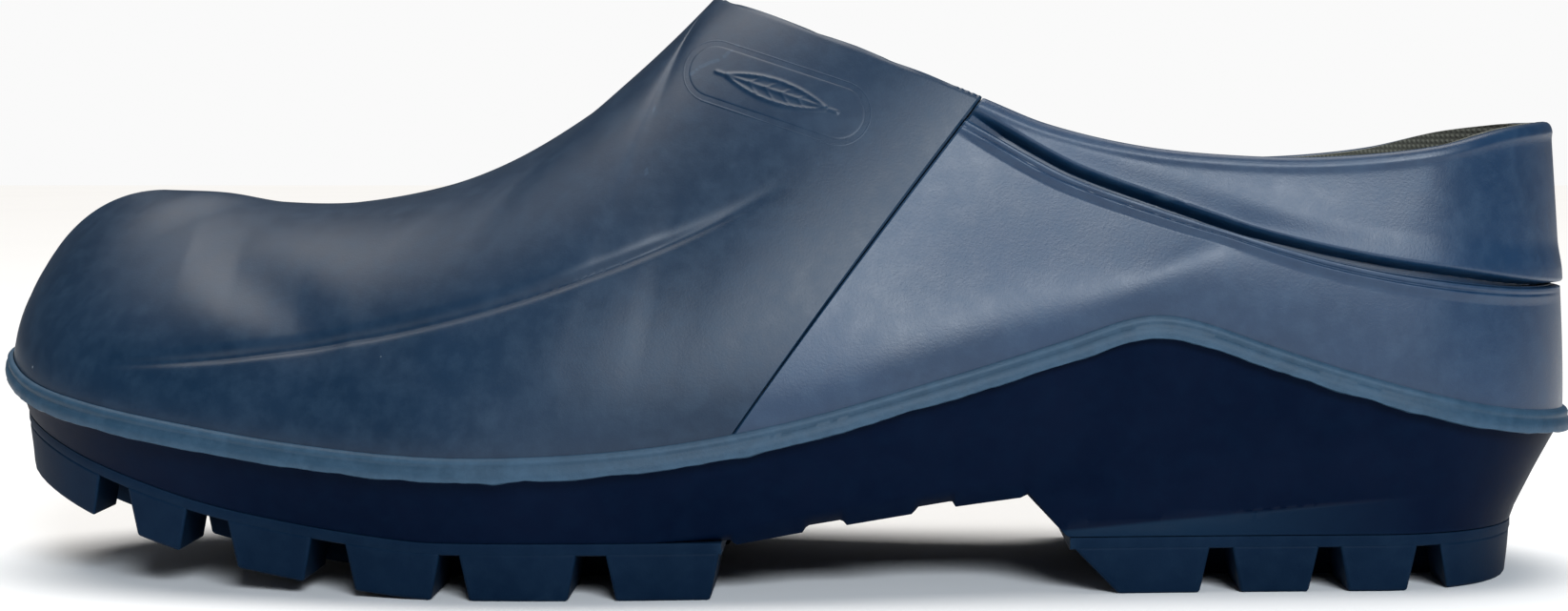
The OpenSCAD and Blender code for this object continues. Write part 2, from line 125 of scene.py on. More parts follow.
def plan_at(x):
    return TOE_SHARE + (1 - TOE_SHARE - HEEL_SHARE) * (np.asarray(x, float) - TOE_END) / (HEEL_END - TOE_END)


def rim(f, side):
    end = np.where(f < FRONT_SHARE, f / FRONT_SHARE, np.where(f > 1 - BACK_SHARE, (1 - f) / BACK_SHARE, 1))
    c, s = np.cos(end * np.pi / 2), np.sin(end * np.pi / 2)
    straight = (f - FRONT_SHARE) / (1 - FRONT_SHARE - BACK_SHARE)
    x = np.where(f < FRONT_SHARE, APEX_X + RIM_FRONT * (1 - c),
                 np.where(f > 1 - BACK_SHARE, RIM_END - RIM_BACK * (1 - c),
                          APEX_X + RIM_FRONT + (RIM_END - RIM_BACK - APEX_X - RIM_FRONT) * straight))
    return np.stack([x, curve(MIDDLE_Y, x) + side * curve(RIM_W, x) * s, curve(RIM_Z, x)], -1)


def foot(k, side):
    x, y = plan(curve(OUTLINE_AT, k), side)
    return np.stack([x, y, curve(WELT_Z, x)], -1)


def head(k, side):
    r = np.clip((k - K_APEX) / (1 - K_APEX), 0, 1)
    on_rim = rim((np.sqrt(r**2 + 0.01) - 0.1) / (np.sqrt(1.01) - 0.1), side)
    t = np.clip(k / K_APEX, 0, 1)
    x = SPINE_START + (APEX_X - SPINE_START) * (0.6 * t + 1.8 * t**2 - 1.4 * t**3)
    spine = np.stack([x, curve(MIDDLE_Y, x), curve(SPINE_Z, x)], -1)
    return np.where((k > K_APEX)[:, None], on_rim, spine)


def surface(k, side, v):
    """Grid of points on the upper: one rib for each k and side, one point for each v."""
    k, side = np.asarray(k, float), np.asarray(side, float)
    p, t = foot(k, side), head(k, side)
    back = curve(HEAD_BACK, k)
    a = p + np.stack([curve(FOOT_BACK, k), side * curve(FOOT_OUT, k), curve(FOOT_UP, k)], -1)
    b = t - np.stack([back, -side * curve(HEAD_IN, k), back * curve(SPINE_SLOPE, k) + curve(HEAD_UP, k)], -1)
    v = np.asarray(v, float)
    v = np.broadcast_to(v, (len(k), v.shape[-1]))[..., None]
    p, a, b, t = (q[:, None, :] for q in (p, a, b, t))
    return (1 - v) ** 3 * p + 3 * (1 - v) ** 2 * v * a + 3 * (1 - v) * v**2 * b + v**3 * t


def groove_at(k, side):
    """Where the collar's groove crosses each rib, by bisection."""
    low, high = np.zeros(len(k)), np.ones(len(k))
    for _ in range(16):
        v = (low + high) / 2
        p = surface(k, side, v[:, None])[:, 0]
        under = p[:, 2] < curve(GROOVE_Z, p[:, 0])
        low, high = np.where(under, v, low), np.where(under, high, v)
    return (low + high) / 2


def tread_at(x):
    """Height of the tread face above the ground; it only rises towards the toe."""
    return np.maximum(0, curve(TREAD_Z, x))


# ---------------------------------------------------------------- mesh helpers
def make_object(name, points, faces, body, replaces=(), sharp=38):
    mesh = bpy.data.meshes.new(name)
    mesh.from_pydata((np.asarray(points) * MM).tolist(), [], faces)
    mesh.validate()
    merge_doubles(mesh)
    mesh.shade_smooth()
    mesh.set_sharp_from_angle(angle=math.radians(sharp))
    piece = bpy.data.objects.new(name, mesh)
    bpy.context.scene.collection.objects.link(piece)
    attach(piece, body)
    if replaces:
        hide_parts(*replaces)
    return piece


def merge_doubles(mesh):
    bm = bmesh.new()
    bm.from_mesh(mesh)
    bmesh.ops.remove_doubles(bm, verts=bm.verts, dist=2e-6)
    bmesh.ops.dissolve_degenerate(bm, edges=bm.edges, dist=1e-6)
    bmesh.ops.recalc_face_normals(bm, faces=bm.faces)
    bm.to_mesh(mesh)
    bm.free()


def unit(a):
    return a / np.maximum(np.linalg.norm(a, axis=-1, keepdims=True), 1e-12)


def grid_normals(g, zipped):
    """Normals out of the foot. A zipped column's top row lies on the spine."""
    along = np.empty_like(g)
    along[1:-1] = g[2:] - g[:-2]
    along[0], along[-1] = g[1] - g[0], g[-1] - g[-2]
    up = np.empty_like(g)
    up[:, 1:-1] = g[:, 2:] - g[:, :-2]
    up[:, 0], up[:, -1] = g[:, 1] - g[:, 0], g[:, -1] - g[:, -2]
    n, z = len(g) - 1, np.asarray(zipped)
    for i in np.where(z)[0]:
        ahead = i + 1 if i < n and z[i + 1] else i
        behind = i - 1 if i > 0 and z[i - 1] else i
        along[i, -1] = g[ahead, -1] - g[behind, -1]
        up[i, -1] = g[n - i, -2] - g[i, -2]
        if np.linalg.norm(along[i, -1]) < 1e-3:
            along[i, -1] = g[ahead, -2] - g[behind, -2]
            up[i, -1] = g[i, -1] - g[i, -2]
    return unit(np.cross(along, up))


def shell_faces(columns, rows, zipped):
    """Quads of a closed shell: outer grid, inner grid and the strips between their edges."""
    size = columns * rows
    index = np.arange(size).reshape(columns, rows)
    a, b, c, d = (q.ravel() for q in (index[:-1, :-1], index[:-1, 1:], index[1:, 1:], index[1:, :-1]))
    parts = [(a, b, c, d), (a + size, d + size, c + size, b + size)]
    a, d = index[:-1, 0], index[1:, 0]
    parts.append((a, d, d + size, a + size))
    zipped = np.asarray(zipped)
    free = ~(zipped[:-1] & zipped[1:])
    a, d = index[:-1, -1][free], index[1:, -1][free]
    parts.append((d, a, a + size, d + size))
    a, b = index[0, :-1], index[0, 1:]
    parts.append((b, a, a + size, b + size))
    a, b = index[-1, :-1], index[-1, 1:]
    parts.append((a, b, b + size, a + size))
    return np.concatenate([np.stack(p, -1) for p in parts]).tolist()


def arc_lengths(g, axis):
    """Distance along the grid from its first point, along axis."""
    step = np.linalg.norm(np.diff(g, axis=axis), axis=-1)
    zero = np.zeros((1, g.shape[1])) if axis == 0 else np.zeros((g.shape[0], 1))
    return np.concatenate([zero, np.cumsum(step, axis=axis)], axis=axis)


def rounded(distance, radius):
    """How far a surface is drawn in at that distance from an edge of that radius."""
    gap = np.clip(radius - distance, 0, radius)
    return radius - np.sqrt(np.maximum(radius**2 - gap**2, 0))


def wall_piece(name, grid, outer, inner, zipped, replaces, level_foot=True, sharp=38):
    normals = grid_normals(grid, zipped)
    if zipped.any():
        tip = np.argsort(np.abs(np.arange(len(zipped)) - len(zipped) // 2))[:5]
        normals[tip[:, None], np.arange(-6, 0)] = unit(np.array([-0.15, 0, 1]))
    if level_foot:
        normals[:, 0, 2] = 0
        normals[:, 0] = unit(normals[:, 0])
    outside = grid + normals * outer[..., None]
    inside = grid - normals * inner[..., None]
    points = np.concatenate([outside.reshape(-1, 3), inside.reshape(-1, 3)])
    return make_object(name, points, shell_faces(grid.shape[0], grid.shape[1], zipped), "clog",
                       replaces, sharp)


def loops_piece(name, loops, body, replaces=(), ring=False, sharp=38):
    """A solid through closed loops of points, all with the same count."""
    loops = np.asarray(loops)
    count, n = loops.shape[:2]
    index = np.arange(count * n).reshape(count, n)
    faces = []
    for l in range(count if ring else count - 1):
        below, above = index[l], index[(l + 1) % count]
        for i in range(n):
            j = (i + 1) % n
            faces.append((below[i], above[i], above[j], below[j]))
    if not ring:
        half = n // 2
        for loop in (index[0], index[-1]):
            for i in range(half - 1):
                faces.append((loop[i], loop[i + 1], loop[n - 2 - i], loop[n - 1 - i]))
    return make_object(name, loops.reshape(-1, 3), faces, body, replaces, sharp)


def both_sides(us, grow, z, tuck=lambda x: 0 * x):
    """One closed loop round the plan: out along the outer side and back along the inner side."""
    edges = []
    for side in (-1, 1):
        x, y = plan(us, side, grow)
        edges.append(np.stack([x, y - side * tuck(x), z(x)], -1))
    return np.concatenate([edges[0], edges[1][::-1]])


# ---------------------------------------------------------------- upper
def crease(points, path, fade):
    """Distance above a crease along path, a list of (x, z), and its strength, which fades at both ends."""
    path = np.array(path, float)
    xs = np.linspace(path[0, 0], path[-1, 0], 60)
    zs = curve(path, xs)
    x, z = points[..., 0], points[..., 2]
    slope = np.gradient(zs, xs)
    inside = (x > xs[0]) & (x < xs[-1])
    zc, sc = np.interp(x, xs, zs), np.interp(x, xs, slope)
    off = (z - zc) / np.sqrt(1 + sc**2)
    along = (x - xs[0]) / (xs[-1] - xs[0])
    strength = np.interp(along, [0, fade, 1 - fade, 1], [0, 1, 1, 0]) * inside
    return off, strength


SWEEP = [(-122, 39), (-98, 41), (-72, 44.8), (-52, 49.2), (-32, 55.5), (-12, 63.5), (2, 71)]
CAP = [(-106, 58.5), (-96, 55), (-84, 49.5), (-73, 45)]
CAP_TAIL = [(-73, 45), (-64, 41.5), (-50, 37), (-36, 34)]


def vamp_relief(points):
    """Outward displacement of the vamp's skin: the swept crease and the toe cap's shoulder."""
    off, on = crease(points, SWEEP, 0.22)
    out = -0.6 * on * np.exp(-np.abs(off / 0.75) ** 2) - 0.35 * on * np.exp(-np.abs(off / 7))
    out += 0.3 * on * ramp(off, 0.3, 2.5) * (1 - ramp(off, 3, 16))
    off, on = crease(points, CAP, 0.3)
    out -= 0.9 * on * np.exp(-(off / 5.5) ** 2)
    off, on = crease(points, CAP_TAIL, 0.35)
    out -= 0.35 * on * np.exp(-(off / 5.0) ** 2)
    return out


# The raised oval badge on the outer side, with a plain leaf in place of any mark
BADGE = {"middle": (-0.1, 86.9), "tilt": math.radians(-18.7), "half": 16.6, "radius": 5.0}


def mirrored_path(ks):
    """Ribs from the inner side round the toe to the outer side."""
    k = np.concatenate([ks[::-1], ks[1:]])
    side = np.concatenate([np.ones(len(ks)), -np.ones(len(ks) - 1)])
    return k, side


def seam_distance(grid):
    along = arc_lengths(grid, 0)
    return np.minimum(along, along[-1:] - along)


def rim_distance(grid):
    """Distance of each point of a grid from the line of the rim."""
    f = np.linspace(0, 1, 240)
    line_points = np.concatenate([rim(f, -1.0), rim(f, 1.0)])
    near = grid.reshape(-1, 3)
    found = np.full(len(near), 99.0)
    high = np.where(near[:, 2] > 70)[0]
    for part in np.array_split(high, 12):
        found[part] = np.linalg.norm(near[part, None] - line_points[None], axis=-1).min(1)
    return found.reshape(grid.shape[:2])


def make_vamp():
    ks = np.concatenate([[0, 0.006, 0.015, 0.028], np.linspace(0.042, K_APEX, 190),
                         np.linspace(K_APEX + 0.003, K_SEAM - 0.012, 80),
                         np.linspace(K_SEAM - 0.010, K_SEAM - 0.0003, 12)])
    k, side = mirrored_path(ks)
    v = np.concatenate([np.linspace(0, 0.94, 180)[:-1], np.linspace(0.94, 1, 16)])
    grid = surface(k, side, v)
    zipped = k <= K_APEX + 1e-9
    lip = rounded(rim_distance(grid), 1.1)
    inner_lip = np.where(zipped[:, None], 0, lip)
    out = vamp_relief(grid) - lip - rounded(seam_distance(grid), 0.35)
    return wall_piece("vamp_skin", grid, out, WALL - inner_lip, zipped, ["vamp"])


def find_on_side(x, z, rounds=25):
    """k and v of the points of the outer side that lie at x and z, by Newton steps."""
    k, v = np.full(x.shape, 0.5), np.full(x.shape, 0.8)
    side, step = np.full(x.shape, -1.0), 1e-4

    def at(k, v):
        p = surface(k, side, v[:, None])[:, 0]
        return p[:, 0], p[:, 2]

    for _ in range(rounds):
        px, pz = at(k, v)
        xk, zk = at(k + step, v)
        xv, zv = at(k, v + step)
        a, b, c, d = (xk - px) / step, (xv - px) / step, (zk - pz) / step, (zv - pz) / step
        det = a * d - b * c
        ex, ez = x - px, z - pz
        k = np.clip(k + 0.7 * (d * ex - b * ez) / det, 0.36, 0.61)
        v = np.clip(v + 0.7 * (a * ez - c * ex) / det, 0.4, 0.995)
    return k, v


def badge_relief(a, b):
    """Height of the badge: a fine groove round its edge and a plain raised leaf in the middle."""
    past = np.maximum(np.abs(a) - (BADGE["half"] - BADGE["radius"]), 0)
    edge = np.sqrt(past**2 + b**2) - BADGE["radius"]
    height = -0.28 * bell(edge, 0, 0.30) + 0.05 * (1 - ramp(edge, 0.3, 0.9))
    height -= 0.35 * ramp(edge, 0.7, 1.3)
    width = 1.9 * np.clip(1 - (a / 9.5) ** 2, 0, 1)
    outline = np.abs(b) - width
    height += 0.26 * bell(outline, 0, 0.30) * (np.abs(a) < 9.4)
    height += 0.22 * bell(b, 0, 0.28) * (1 - ramp(np.abs(a), 11.2, 11.8))
    for vein in (-5, -2, 1, 4):
        slant = np.abs(a - vein - np.abs(b) * 1.3)
        height += 0.12 * bell(slant, 0, 0.28) * (np.abs(b) < np.maximum(width - 0.2, 0))
    return height


def make_badge():
    half, radius = BADGE["half"], BADGE["radius"]
    margin = 1.4
    a, b = np.meshgrid(np.linspace(-half - margin, half + margin, 170),
                       np.linspace(-radius - margin, radius + margin, 62), indexing="ij")
    c, s = math.cos(BADGE["tilt"]), math.sin(BADGE["tilt"])
    x, z = BADGE["middle"][0] + a * c - b * s, BADGE["middle"][1] + a * s + b * c
    k, v = find_on_side(x.ravel(), z.ravel())
    grid = surface(k, np.full(k.shape, -1.0), v[:, None])[:, 0].reshape(*a.shape, 3)
    along, across = np.gradient(grid, axis=0), np.gradient(grid, axis=1)
    normals = unit(np.cross(along, across))
    normals *= np.where(normals[..., 1:2] > 0, -1, 1)
    skin = grid + normals * badge_relief(a, b)[..., None]
    points = np.concatenate([skin.reshape(-1, 3), (grid - normals * 0.9).reshape(-1, 3)])
    faces = shell_faces(a.shape[0], a.shape[1], np.zeros(a.shape[0], bool))
    return make_object("badge_relief", points, faces, "clog")


def rear_path(ks):
    return np.concatenate([ks, ks[::-1][1:]]), np.concatenate([-np.ones(len(ks)), np.ones(len(ks) - 1)])


REAR_KS = np.concatenate([np.linspace(K_SEAM + 0.0003, K_SEAM + 0.010, 10),
                          np.linspace(K_SEAM + 0.013, 0.94, 105), np.linspace(0.943, 1, 34)])


def groove_strength(k):
    return (0.35 + 0.65 * line(k, K_SEAM, K_SEAM + 0.02))[:, None]


def make_quarter():
    k, side = rear_path(REAR_KS)
    r = np.concatenate([np.linspace(0, 0.84, 44)[:-1], np.linspace(0.84, 1, 46)])
    grid = surface(k, side, r[None, :] * (groove_at(k, side) - 0.0004)[:, None])
    s = arc_lengths(grid, 1)
    s = s[:, -1:] - s
    on = groove_strength(k)
    heel = ramp(k, 0.86, 0.97)[:, None]
    out = on * (0.9 * (1 - heel) * (1 - ramp(s, 1.5, 3.6)) - 0.4 * bell(s, 1.5, 0.28) * (1 - heel))
    out = out - on * 1.6 * (1 - ramp(s, 0.1, 0.6)) - rounded(seam_distance(grid), 0.35)
    inner = np.full(out.shape, WALL)
    return wall_piece("quarter_skin", grid, out, inner, np.zeros(len(k), bool), ["quarter"])


def make_collar_band():
    k, side = rear_path(REAR_KS)
    r = np.concatenate([np.linspace(0, 0.16, 26)[:-1], np.linspace(0.16, 0.9, 34)[:-1],
                        np.linspace(0.9, 1, 18)])
    low = (groove_at(k, side) + 0.0004)[:, None]
    grid = surface(k, side, low + r[None, :] * (1 - low))
    s = arc_lengths(grid, 1)
    from_top = s[:, -1:] - s
    on = groove_strength(k)
    heel = ramp(k, 0.86, 0.97)[:, None]
    undercut = 2.1 * (1 - heel) + 0.3 * heel
    out = -on * 2.7 * (1 - ramp(s, undercut * 0.55, undercut))
    out = out - rounded(np.maximum(s - undercut, 0), 0.6) * on
    belly = on * 0.5 * (1 - ramp(s, 2, 8))
    lip = rounded(from_top, 1.2)
    bead = 0.22 * bell(from_top, 1.9, 0.8)
    out = out + belly + bead - lip - rounded(seam_distance(grid), 0.35)
    return wall_piece("collar_band_skin", grid, out, WALL - lip, np.zeros(len(k), bool),
                      ["collar_band"])


def make_lining(name, k, side, v, zipped, node):
    grid = surface(k, side, v)
    shape = grid.shape[:2]
    return wall_piece(name, grid, np.full(shape, -WALL - 0.02), np.full(shape, WALL + LINING), zipped,
                      [node])


def make_linings():
    ks = np.concatenate([[0, 0.01, 0.028], np.linspace(0.05, K_SEAM, 70)])
    k, side = mirrored_path(ks)
    front = make_lining("vamp_lining_knit", k, side, np.linspace(0, 1, 50), k <= K_APEX + 1e-9, "vamp_lining")
    k, side = rear_path(np.linspace(K_SEAM, 1, 70))
    rear = make_lining("quarter_lining_knit", k, side, np.linspace(0, 1, 40), np.zeros(len(k), bool),
                       "quarter_lining")
    return front, rear


# ---------------------------------------------------------------- welt and sole
def plan_steps(toe, sides, heel):
    """Steps round the plan, with that many points on the toe's curve, the sides and the heel's curve."""
    return np.concatenate([np.linspace(0, 0.30, toe)[:-1], np.linspace(0.30, 0.80, sides)[:-1],
                           np.linspace(0.80, 1, heel)])


def fine_steps():
    return plan_steps(110, 330, 90)


def waves(length, scale, seed, octaves=3):
    """A random closed line of that many points, about -1 to 1, with features of about scale points."""
    local = np.random.default_rng(seed)
    total = np.zeros(length)
    for o in range(octaves):
        knots = max(8, int(length / scale * 2**o))
        values = local.uniform(-1, 1, knots)
        closed = np.append(values, values[0])
        total += np.interp(np.linspace(0, knots, length), np.arange(knots + 1), closed) / 2**o
    return total / 1.5


def make_welt():
    us = fine_steps()
    count = 2 * len(us)
    torn, ragged = waves(count, 9, 3), waves(count, 5, 5)
    profile = [(0.05, -1.9, 0.0), (0.9, -2.1, 0.35), (WELT_OUT, -1.9, 0.25), (WELT_OUT, -1.2, 0.08),
               (WELT_OUT - 0.15, -0.1, 0.02), (WELT_OUT - 0.55, 0.35, 0.0), (WELT_OUT - 0.5, 0.75, 0.0),
               (WELT_OUT - 0.45, 1.2, 0.0), (WELT_OUT - 0.75, 1.7, 0.0), (0.35, 2.0, 0.0), (0.05, 2.05, 0.0)]
    loops = []
    for out, up, rough in profile:
        loop = both_sides(us, (out, out, out), lambda x: curve(WELT_Z, x) + up)
        loop[:, 2] += rough * torn
        if rough > 0.2:
            middle = np.array([0, 0.9])
            away = unit(loop[:, :2] - middle)
            loop[:, :2] -= away * (rough * 0.8 * np.abs(ragged))[:, None]
        loops.append(loop)
    return loops_piece("welt_rib", loops, "clog", ["welt"], ring=True, sharp=50)


ARCH_START, ARCH_END, HEEL_START, ARCH_HIGH = -9.0, 43.0, 50.4, 7.8
LUG_HEIGHT, TREAD_BASE, LUG_GAP = 7.8, 2.2, 5.0
TREAD_TOP = LUG_HEIGHT + TREAD_BASE
ARCH_RIBS, RIB_HALF, RIB_DEEP = (-1, 18, 37), 5.8, 1.1
TREAD_GROW = np.array([-2.4, -5.5, -9.2])
LEDGE_START, LEDGE_LOW, LEDGE_SLOPE = 48.7, 11.2, 0.088


def under_z(x):
    arch = line(x, ARCH_START, ARCH_END) - line(x, ARCH_END, HEEL_START)
    return tread_at(x) + TREAD_TOP + ARCH_HIGH * arch


def arch_rib(x):
    return RIB_DEEP * np.max([1 - ramp(np.abs(x - r), RIB_HALF, RIB_HALF + 0.7) for r in ARCH_RIBS], axis=0)


def waist_tuck(x):
    return 4 * line(x, ARCH_START - 12, ARCH_START + 12) * (1 - line(x, ARCH_END - 12, HEEL_START))


def ledge_z(x):
    """Height of the slanted ledge on the sides of the heel."""
    return LEDGE_LOW + (x - LEDGE_START) * LEDGE_SLOPE


def midsole_side(t):
    """Grow of the sole's side at t, from 0 at its foot to 1 at the welt."""
    toe = np.interp(t, [0, 0.12, 0.5, 1], [-2.4, -2.1, -1.3, -0.05])
    sides = np.interp(t, [0, 0.12, 0.5, 1], [-5.5, -4.9, -2.9, -0.05])
    heel = np.interp(t, [0, 0.12, 0.5, 1], [-9.2, -8.4, -4.9, -0.05])
    return toe, sides, heel


def ledge_out(x, z):
    """How far the side of the heel stands out below the slanted ledge, so that it drops upright."""
    below = 1 - ramp(z, ledge_z(x) - 0.3, ledge_z(x) + 0.3)
    rise = np.clip(ledge_z(x) - z, 0, ledge_z(x) - TREAD_TOP)
    span = line(x, 42, 50) * (1 - line(x, 106, 130))
    return below * span * (0.24 * rise + 1.1 * (1 - line(x, 54, 116)))


def add_ledge(loop):
    loop[:, 1] += np.sign(loop[:, 1]) * ledge_out(loop[:, 0], loop[:, 2])
    return loop


def make_midsole():
    us = fine_steps()
    loops = []
    for grow in ((-8, -12, -14), (-2.6, -5.7, -9.4)):
        loops.append(both_sides(us, grow, lambda x: under_z(x) - arch_rib(x), waist_tuck))
    rows = [[0, 0.04, 0.08], np.linspace(0.12, 0.5, 30)[:-1], np.linspace(0.5, 0.94, 14), [0.97, 1]]
    for t in np.concatenate(rows):
        def z(x):
            low = under_z(x) + 0.15 + waist_tuck(x) / 2
            return low + t * (curve(WELT_Z, x) - 0.05 - low)
        loop = both_sides(us, midsole_side(t), z, lambda x: waist_tuck(x) / 4 * (1 - t) ** 2)
        loops.append(add_ledge(loop))
    loops.append(both_sides(us, (-WALL, -WALL, -WALL), lambda x: curve(WELT_Z, x) - 0.05))
    loops.append(both_sides(us, (-WALL - 1.5,) * 3, lambda x: curve(BED_Z, x) + 3))
    loops.append(both_sides(us, (-WALL - 4,) * 3, lambda x: curve(BED_Z, x)))
    return loops_piece("midsole_cup", loops, "clog", ["midsole"])


def sole_y(x, side, grow):
    toe_in = np.maximum(0, (TOE_END - x) / (TOE_ROUND + grow[0]))
    heel_in = np.maximum(0, (x - HEEL_END) / (HEEL_ROUND + grow[2]))
    end = np.maximum(0, 1 - np.maximum(toe_in, heel_in) ** CORNER) ** (1 / CORNER)
    return curve(MIDDLE_Y, x) + side * (half_width(x, side) + grow[1]) * end


def lug_solid(x0, x1, side, share0, share1, draft):
    """Points and faces of one lug: rings of its outline from the base down to the ground."""
    n = 10
    rings = []
    for depth in (0.0, 0.5, 1.0):
        xs = np.linspace(x0 + draft[0] * depth, x1 - draft[1] * depth, n)
        grow = TREAD_GROW - 0.9 * depth
        middle = curve(MIDDLE_Y, xs)
        half = sole_y(xs, side, grow) - middle
        z = tread_at(xs) + (LUG_HEIGHT + 0.5) * (1 - depth)
        one = np.stack([xs, middle + share0 * half, z], -1)
        rim = side * ledge_out(xs, z) if share1 == 1 else 0
        two = np.stack([xs, middle + share1 * half + rim, z], -1)
        rings.append(np.concatenate([one, two[::-1]]))
    points = np.concatenate(rings)
    m = 2 * n
    faces = [(l * m + i, (l + 1) * m + i, (l + 1) * m + (i + 1) % m, l * m + (i + 1) % m)
             for l in range(2) for i in range(m)]
    for base in (0, 2 * m):
        faces += [(base + i, base + i + 1, base + m - 2 - i, base + m - 1 - i) for i in range(n - 1)]
    return points, faces


def lug_rows(spans, inner, front_draft):
    lugs = []
    for i, (a, b) in enumerate(spans):
        for side in (-1, 1):
            lugs.append(lug_solid(a, b, side, inner + 0.12, 1, (front_draft if i == 0 else 1.7, 1.7)))
    mids = [(a + b) / 2 for a, b in spans]
    for a, b in zip(mids, mids[1:]):
        lugs.append(lug_solid(a + LUG_GAP / 2, b - LUG_GAP / 2, 1, -inner + 0.02, inner - 0.02, (1.7, 1.7)))
    return lugs


def bevel(piece, width, segments=3):
    mod = piece.modifiers.new("Rounded edges", "BEVEL")
    mod.width = width * MM
    mod.segments = segments
    mod.limit_method = "ANGLE"
    mod.angle_limit = math.radians(35)
    mod.harden_normals = False


def make_lugs(name, spans, inner, front_draft):
    points, faces, base = [], [], 0
    for p, f in lug_rows(spans, inner, front_draft):
        points.append(p)
        faces += [tuple(i + base for i in face) for face in f]
        base += len(p)
    piece = make_object(name, np.concatenate(points), faces, "clog")
    bevel(piece, 0.55)
    return piece


FOREFOOT_LUGS = [(-140.6, -119.8), (-114.2, -102.6), (-95.2, -79.7), (-73.8, -56.9), (-53.7, -33.5),
                 (-28.7, -9.3)]
HEEL_LUGS = [(51.4, 75.3), (79.1, 94.4), (98, 111.8), (115.9, 133.8)]


def make_tread(name, us, node):
    loops = [add_ledge(both_sides(us, tuple(TREAD_GROW + g), lambda x: tread_at(x) + up))
             for g, up in ((-8, LUG_HEIGHT), (-0.9, LUG_HEIGHT), (-0.2, LUG_HEIGHT + 0.25),
                           (0, LUG_HEIGHT + 0.8), (0, TREAD_TOP - 0.5),
                           (0, TREAD_TOP - 0.12), (-0.12, TREAD_TOP - 0.02))]
    return loops_piece(name, loops, "clog", [node])


def make_treads():
    fore_us = np.concatenate([np.linspace(0, 0.30, 90)[:-1], plan_at(np.linspace(TOE_END, ARCH_START, 90))])
    heel_us = np.concatenate([plan_at(np.linspace(50.9, HEEL_END, 60))[:-1], np.linspace(0.80, 1, 60)])
    return [make_tread("forefoot_tread_base", fore_us, "forefoot_tread"),
            make_lugs("forefoot_lugs", FOREFOOT_LUGS, 0.42, 1.7),
            make_tread("heel_tread_base", heel_us, "heel_tread"),
            make_lugs("heel_lugs", HEEL_LUGS, 0.44, 8)]


# ---------------------------------------------------------------- insole
FOAM, COVER, INSOLE_GAP, INSOLE_INSET = 4.5, 1.0, 0.35, WALL + 4.9


def insole_loops(low, high, inset, edge):
    us = plan_steps(40, 50, 30)
    loops = []
    for more, up in ((8, low), (edge, low), (0.15 * edge, low + 0.35 * edge), (0, low + 0.8 * edge),
                     (0, high - 0.8 * edge), (0.15 * edge, high - 0.35 * edge), (edge, high), (8, high),
                     (16, high)):
        grow = -(inset + more)
        loops.append(both_sides(us, (grow, grow, grow), lambda x: curve(BED_Z, x) + INSOLE_GAP + up))
    return loops


def make_insole():
    foam = loops_piece("insole_foam_pad", insole_loops(0, FOAM, INSOLE_INSET, 1.0), "insole",
                       ["insole_foam"])
    cover_loops = insole_loops(FOAM, FOAM + COVER, INSOLE_INSET + 0.6, 0.4)
    cloth = loops_piece("insole_cover_cloth", cover_loops, "insole", ["insole_cover"])
    return foam, cloth


# ---------------------------------------------------------------- materials
class Graph:
    """A small helper that adds nodes to one material and links them."""

    def __init__(self, name):
        self.material = bpy.data.materials.new(name)
        self.material.use_nodes = True
        self.tree = self.material.node_tree
        self.shader = next(n for n in self.tree.nodes if n.type == "BSDF_PRINCIPLED")
        self.place = self.node("ShaderNodeTexCoord").outputs["Object"]

    def node(self, kind, inputs=None, **settings):
        n = self.tree.nodes.new(kind)
        for key, value in settings.items():
            setattr(n, key, value)
        for key, value in (inputs or {}).items():
            self.put(value, n.inputs[key])
        return n

    def put(self, value, socket):
        if isinstance(value, bpy.types.NodeSocket):
            self.tree.links.new(value, socket)
        else:
            socket.default_value = value

    def noise(self, scale, detail=2.0, roughness=0.5):
        return self.node("ShaderNodeTexNoise", {"Vector": self.place, "Scale": scale, "Detail": detail,
                                                "Roughness": roughness}).outputs["Fac"]

    def levels(self, value, low, high, out_low=0.0, out_high=1.0):
        return self.node("ShaderNodeMapRange", {"Value": value, "From Min": low, "From Max": high,
                                                "To Min": out_low, "To Max": out_high}).outputs["Result"]

    def math(self, operation, a, b=0.0):
        return self.node("ShaderNodeMath", {0: a, 1: b}, operation=operation).outputs[0]

    def mix(self, factor, a, b):
        return self.node("ShaderNodeMix", {"Factor": factor, 6: a, 7: b}, data_type="RGBA").outputs[2]

    def specks(self, spacing, size, keep):
        """Sparse small dots, spacing apart in metres: 1 in a dot and 0 elsewhere."""
        cells = self.node("ShaderNodeTexVoronoi", {"Vector": self.place, "Scale": 1 / spacing})
        dot = self.levels(cells.outputs["Distance"], size / spacing, size / spacing * 0.5)
        chosen = self.node("ShaderNodeSeparateColor", {"Color": cells.outputs["Color"]}).outputs[0]
        return self.math("MULTIPLY", dot, self.math("GREATER_THAN", chosen, 1 - keep))

    def bump(self, height, distance, strength=1.0, normal=None):
        inputs = {"Height": height, "Distance": distance, "Strength": strength}
        if normal is not None:
            inputs["Normal"] = normal
        return self.node("ShaderNodeBump", inputs).outputs["Normal"]

    def set(self, **sockets):
        for key, value in sockets.items():
            self.put(value, self.shader.inputs[key.replace("_", " ")])


def lit_mask_under_ledge(g):
    """One below the slanted ledge of the heel, fading towards the back, and nothing above it: where a paler
    colour is painted as light, against the painted shade above.
    """
    split = g.node("ShaderNodeSeparateXYZ", {"Vector": g.place})
    x, z = split.outputs["X"], split.outputs["Z"]
    ledge = g.math("ADD", g.math("MULTIPLY", x, LEDGE_SLOPE), ledge_z(0.0) * MM)
    height = g.math("SUBTRACT", z, ledge)
    below = g.levels(height, -0.0004, 0.0001, 1, 0)
    along = g.math("MULTIPLY", g.levels(x, 0.044, 0.050), g.levels(x, 0.072, 0.112, 1, 0))
    return g.math("MULTIPLY", below, along)


